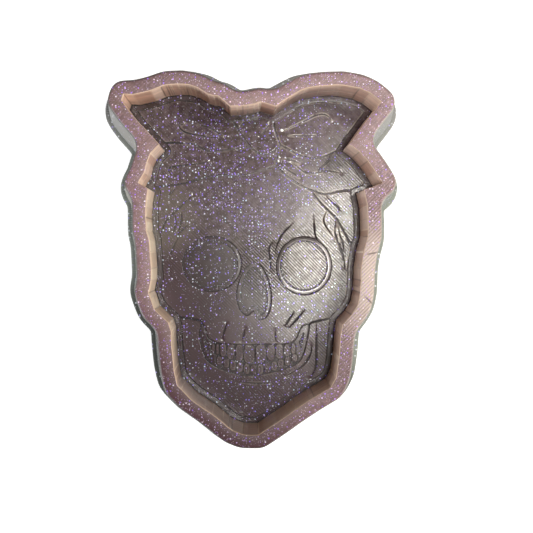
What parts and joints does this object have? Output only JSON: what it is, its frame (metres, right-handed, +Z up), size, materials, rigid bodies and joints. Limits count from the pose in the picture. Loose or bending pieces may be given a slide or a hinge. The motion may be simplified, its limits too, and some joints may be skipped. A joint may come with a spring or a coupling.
{
  "type": "silicone mould",
  "caption": "Open silicone casting mould in the outline of a skull wearing a knotted head scarf, with a glittered rim and a line relief on the cavity floor.",
  "frame": {"origin": "under the middle of the base, on the surface it lies on", "axes": "+Z up out of the open cavity, +Y towards the bow at the top of the skull, +X to the right as seen from above"},
  "size_m": [0.079, 0.1014, 0.024],
  "materials": {
    "clear_silicone": "cloudy translucent grey-green silicone, satin, faint print ribs on the outer wall",
    "rim_glitter_silicone": "dusty pink satin silicone with fine violet and white glitter and diagonal print lines",
    "floor_glitter_silicone": "dark glossy silicone with fine violet and white glitter and diagonal print lines"
  },
  "bodies": {
    "root": {"base_slab": "clear_silicone", "side_wall": "clear_silicone", "rim_coat": "rim_glitter_silicone", "floor_coat": "floor_glitter_silicone", "bow_left_loop": "floor_glitter_silicone", "bow_knot": "floor_glitter_silicone", "bow_right_loop": "floor_glitter_silicone", "scarf_left": "floor_glitter_silicone", "scarf_right": "floor_glitter_silicone", "right_temple": "floor_glitter_silicone", "face": "floor_glitter_silicone", "jaw": "floor_glitter_silicone", "upper_tooth_1": "floor_glitter_silicone", "upper_tooth_2": "floor_glitter_silicone", "upper_tooth_3": "floor_glitter_silicone", "upper_tooth_4": "floor_glitter_silicone", "upper_tooth_5": "floor_glitter_silicone", "upper_tooth_6": "floor_glitter_silicone", "upper_tooth_7": "floor_glitter_silicone", "upper_tooth_8": "floor_glitter_silicone", "upper_tooth_9": "floor_glitter_silicone", "upper_tooth_10": "floor_glitter_silicone", "upper_tooth_11": "floor_glitter_silicone", "lower_tooth_1": "floor_glitter_silicone", "lower_tooth_2": "floor_glitter_silicone", "lower_tooth_3": "floor_glitter_silicone", "lower_tooth_4": "floor_glitter_silicone", "lower_tooth_5": "floor_glitter_silicone", "lower_tooth_6": "floor_glitter_silicone", "lower_tooth_7": "floor_glitter_silicone", "lower_tooth_8": "floor_glitter_silicone", "lower_tooth_9": "floor_glitter_silicone", "lower_tooth_10": "floor_glitter_silicone", "lower_tooth_11": "floor_glitter_silicone", "lower_tooth_12": "floor_glitter_silicone"}
  },
  "joints": []
}
